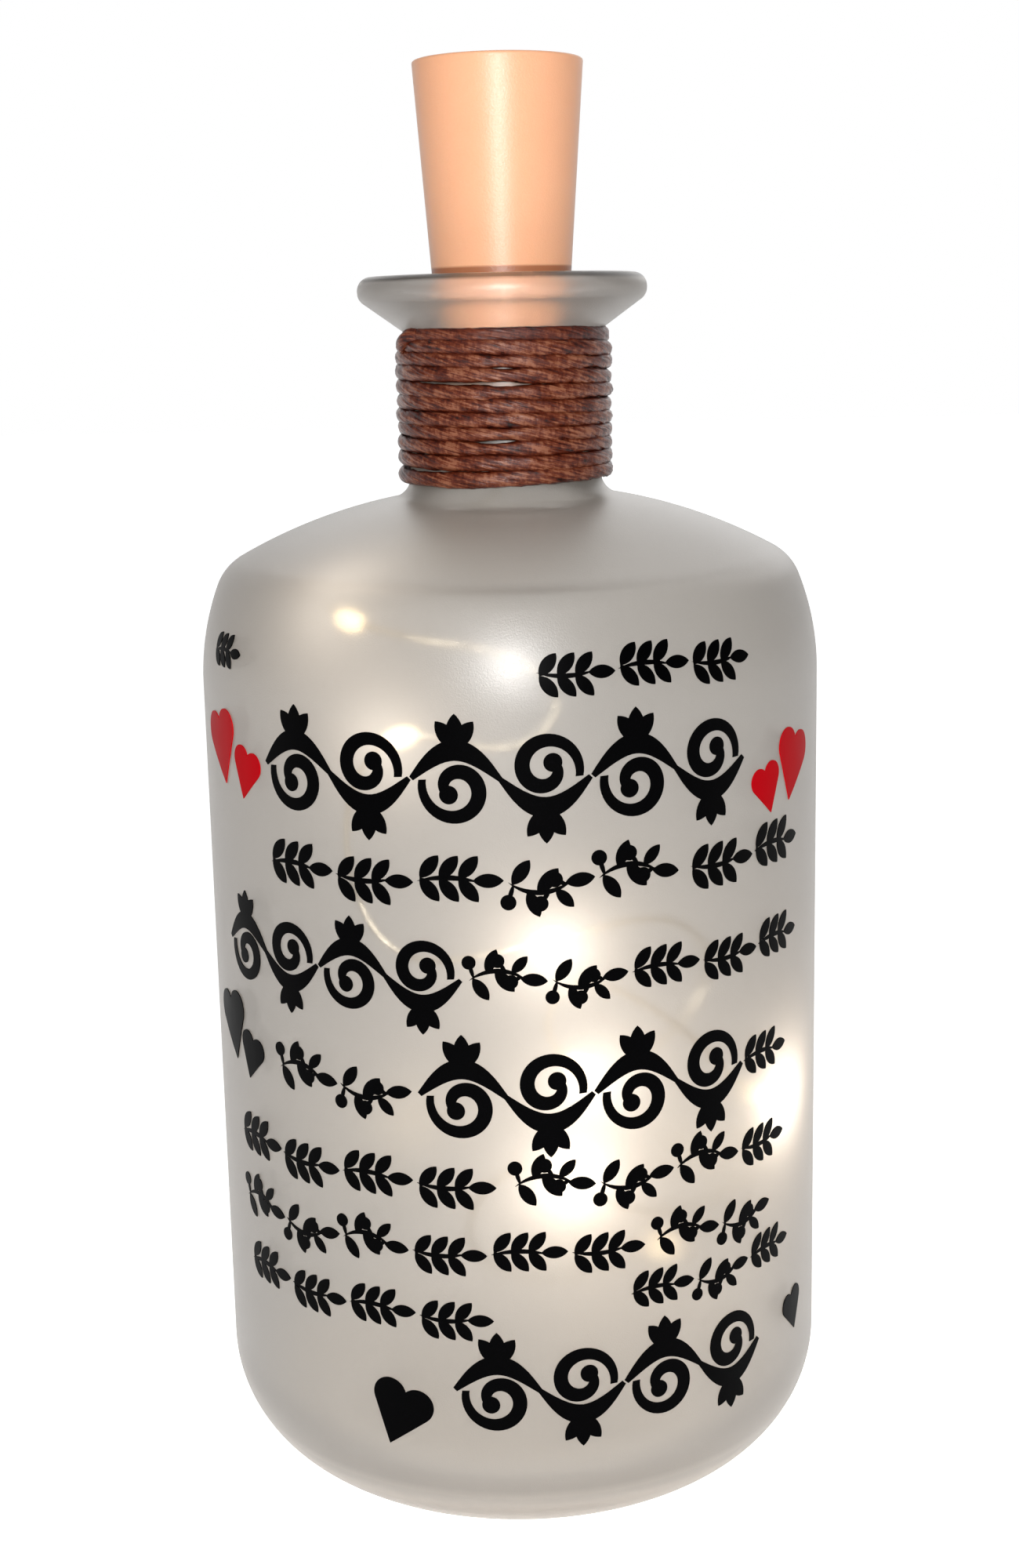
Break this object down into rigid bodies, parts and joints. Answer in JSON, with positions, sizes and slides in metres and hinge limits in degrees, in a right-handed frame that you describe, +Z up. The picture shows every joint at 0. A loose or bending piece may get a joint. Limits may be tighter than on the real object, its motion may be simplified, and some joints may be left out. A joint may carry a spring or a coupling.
{
  "type": "cork bottle light",
  "caption": "Frosted glass bottle with twine round its neck and vinyl ornament, closed by a cork-shaped plastic stopper that holds the batteries, switch and a string of warm lights.",
  "frame": {"origin": "centre of the base, on the surface that the bottle stands on", "axes": "+Z up along the bottle's axis, -Y towards the ornamented front, +X to the right seen from the front"},
  "size_m": [0.0822, 0.0824, 0.1867],
  "materials": {
    "frosted_glass": "clear glass, acid frosted on its outside",
    "waxed_twine": "twisted waxed brown twine",
    "black_vinyl": "thin satin black film",
    "red_vinyl": "thin satin red film",
    "stopper_plastic": "cork-coloured satin plastic, finely grained",
    "soft_grommet": "soft satin rubber",
    "black_plastic": "moulded black plastic",
    "zinc_steel": "zinc plated",
    "nickel_contact": "nickel plated spring steel",
    "cell_steel": "nickel plated steel can",
    "cell_seal": "nylon seal",
    "board_laminate": "green laminate",
    "chip_ceramic": "printed ceramic body",
    "silver_wire": "varnished silvery wire",
    "clear_resin": "clear cast resin",
    "warm_light": "phosphor coated light chip, warm white"
  },
  "bodies": {
    "bottle": {"bottle_glass": "frosted_glass", "neck_twine": "waxed_twine", "vinyl_laurels": "black_vinyl", "vinyl_berry_sprigs": "black_vinyl", "vinyl_vines": "black_vinyl", "vinyl_red_hearts": "red_vinyl", "vinyl_black_hearts": "black_vinyl"},
    "stopper": {"stopper_shell": "stopper_plastic", "wire_grommet": "soft_grommet", "lead_wire": "silver_wire", "light_wire": "silver_wire", "light_beads": "clear_resin", "light_chips": "warm_light", "wire_end_sleeve": "clear_resin"},
    "battery_unit": {"stopper_cap": "stopper_plastic", "cap_screws": "zinc_steel", "battery_holder": "black_plastic", "cell_can_1": "cell_steel", "cell_seal_1": "cell_seal", "cell_cap_1": "cell_steel", "cell_can_2": "cell_steel", "cell_seal_2": "cell_seal", "cell_cap_2": "cell_steel", "cell_can_3": "cell_steel", "cell_seal_3": "cell_seal", "cell_cap_3": "cell_steel", "contact_spring": "nickel_contact", "negative_strap": "nickel_contact", "contact_plate": "nickel_contact", "circuit_board": "board_laminate", "resistor": "chip_ceramic", "switch_base": "black_plastic", "switch_cover": "nickel_contact", "switch_pins": "nickel_contact"},
    "switch": {"switch_knob": "black_plastic"}
  },
  "joints": [
    {"name": "stopper_lift", "type": "slide", "parent": "bottle", "child": "stopper", "axis": [0, 0, 1], "range_m": [0, 0.06], "deforming": ["light_wire", "light_beads", "light_chips", "wire_end_sleeve"]},
    {"name": "battery_pull", "type": "slide", "parent": "stopper", "child": "battery_unit", "axis": [0, 0, 1], "range_m": [0, 0.036], "deforming": ["lead_wire"]},
    {"name": "switch_slide", "type": "slide", "parent": "battery_unit", "child": "switch", "axis": [1, 0, 0], "range_m": [-0.002, 0]}
  ]
}
